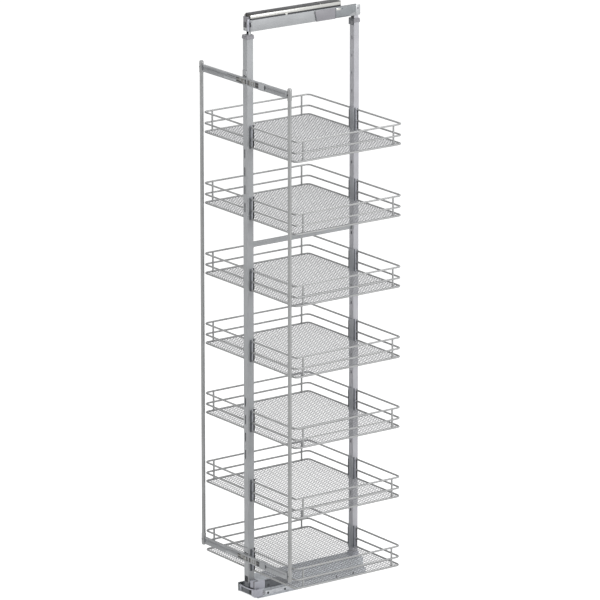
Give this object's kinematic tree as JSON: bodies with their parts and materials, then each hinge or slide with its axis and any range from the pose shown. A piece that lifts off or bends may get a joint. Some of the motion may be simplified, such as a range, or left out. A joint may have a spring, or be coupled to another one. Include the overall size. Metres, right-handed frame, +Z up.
{
  "type": "pull out larder unit",
  "caption": "Tall pull-out larder frame: wire baskets hooked on two posts, sliding out on a floor runner and a top guide, with a frame for the door.",
  "frame": {"origin": "middle of the underside of the floor rail, between its sides and on the middle line of the posts", "axes": "+Z up, -Y out of the cabinet towards the door, +X to the right of someone facing the cabinet"},
  "size_m": [0.5558, 0.4985, 2.1],
  "materials": {
    "galvanised": "bright galvanised sheet",
    "silver_coat": "satin silver powder coat",
    "wire_coat": "satin chromed wire",
    "beam_aluminium": "drawn aluminium",
    "hook_steel": "dark zinc-plated sheet",
    "fitting_steel": "zinc-plated fitting",
    "light_plastic": "light grey plastic",
    "grey_plastic": "grey plastic",
    "dark_plastic": "dark grey plastic"
  },
  "bodies": {
    "floor_fixing": {"floor_rail": "galvanised", "floor_rail_liner": "light_plastic", "floor_rail_cap_left": "light_plastic", "floor_rail_cap_right": "light_plastic"},
    "floor_slide": {"floor_middle_rail": "galvanised", "floor_middle_liner": "light_plastic"},
    "frame": {"floor_carriage": "galvanised", "front_post_foot": "grey_plastic", "rear_post_foot": "light_plastic", "front_post": "silver_coat", "rear_post": "silver_coat", "strut": "silver_coat", "front_collar": "grey_plastic", "rear_collar": "grey_plastic", "upper_door_bracket": "galvanised", "upper_door_adjuster": "fitting_steel", "lower_door_bracket": "galvanised", "lower_door_adjuster": "fitting_steel"},
    "top_guide": {"front_tube": "silver_coat", "rear_tube": "silver_coat", "top_channel": "galvanised", "top_damper": "grey_plastic", "top_front_connector": "light_plastic", "top_rear_connector": "galvanised"},
    "top_slide": {"top_middle_beam": "beam_aluminium"},
    "top_fixing": {"top_cabinet_rail": "galvanised"},
    "door_frame": {"door_rod_left": "wire_coat", "door_rod_right": "wire_coat", "upper_door_bar": "silver_coat", "lower_door_bar": "silver_coat", "upper_door_nut_block": "light_plastic", "lower_door_nut_block": "light_plastic"},
    "basket_1": {"basket_1_wires": "wire_coat", "basket_1_net": "wire_coat", "basket_1_front_hook": "hook_steel", "basket_1_rear_hook": "hook_steel"},
    "basket_2": {"basket_2_wires": "wire_coat", "basket_2_net": "wire_coat", "basket_2_front_hook": "hook_steel", "basket_2_rear_hook": "hook_steel"},
    "basket_3": {"basket_3_wires": "wire_coat", "basket_3_net": "wire_coat", "basket_3_front_hook": "hook_steel", "basket_3_rear_hook": "hook_steel"},
    "basket_4": {"basket_4_wires": "wire_coat", "basket_4_net": "wire_coat", "basket_4_front_hook": "hook_steel", "basket_4_rear_hook": "hook_steel"},
    "basket_5": {"basket_5_wires": "wire_coat", "basket_5_net": "wire_coat", "basket_5_front_hook": "hook_steel", "basket_5_rear_hook": "hook_steel"},
    "basket_6": {"basket_6_wires": "wire_coat", "basket_6_net": "wire_coat", "basket_6_front_hook": "hook_steel", "basket_6_rear_hook": "hook_steel"},
    "basket_7": {"basket_7_wires": "wire_coat", "basket_7_net": "wire_coat", "basket_7_front_hook": "hook_steel", "basket_7_rear_hook": "hook_steel"}
  },
  "joints": [
    {"name": "frame_slide", "type": "slide", "parent": "floor_fixing", "child": "frame", "axis": [0, -1, 0], "range_m": [0, 0.46]},
    {"name": "floor_slide_travel", "type": "slide", "parent": "floor_fixing", "child": "floor_slide", "axis": [0, -1, 0], "range_m": [0, 0.23]},
    {"name": "height_adjust", "type": "slide", "parent": "floor_fixing", "child": "top_fixing", "axis": [0, 0, 1], "range_m": [0, 0.2]},
    {"name": "tube_extension", "type": "slide", "parent": "frame", "child": "top_guide", "axis": [0, 0, 1], "range_m": [0, 0.2]},
    {"name": "top_slide_travel", "type": "slide", "parent": "top_fixing", "child": "top_slide", "axis": [0, -1, 0], "range_m": [0, 0.23]},
    {"name": "door_side_adjust", "type": "slide", "parent": "frame", "child": "door_frame", "axis": [1, 0, 0], "range_m": [-0.003, 0.003]},
    {"name": "basket_1_lift", "type": "slide", "parent": "frame", "child": "basket_1", "axis": [0, 0, 1], "range_m": [0, 0.006]},
    {"name": "basket_2_lift", "type": "slide", "parent": "frame", "child": "basket_2", "axis": [0, 0, 1], "range_m": [0, 0.006]},
    {"name": "basket_3_lift", "type": "slide", "parent": "frame", "child": "basket_3", "axis": [0, 0, 1], "range_m": [0, 0.006]},
    {"name": "basket_4_lift", "type": "slide", "parent": "frame", "child": "basket_4", "axis": [0, 0, 1], "range_m": [0, 0.006]},
    {"name": "basket_5_lift", "type": "slide", "parent": "frame", "child": "basket_5", "axis": [0, 0, 1], "range_m": [0, 0.006]},
    {"name": "basket_6_lift", "type": "slide", "parent": "frame", "child": "basket_6", "axis": [0, 0, 1], "range_m": [0, 0.006]},
    {"name": "basket_7_lift", "type": "slide", "parent": "frame", "child": "basket_7", "axis": [0, 0, 1], "range_m": [0, 0.006]}
  ],
  "couplings": [
    {"joint": "floor_slide_travel", "follows": "frame_slide", "ratio": 0.5},
    {"joint": "top_slide_travel", "follows": "frame_slide", "ratio": 0.5},
    {"joint": "tube_extension", "follows": "height_adjust", "ratio": 1}
  ]
}
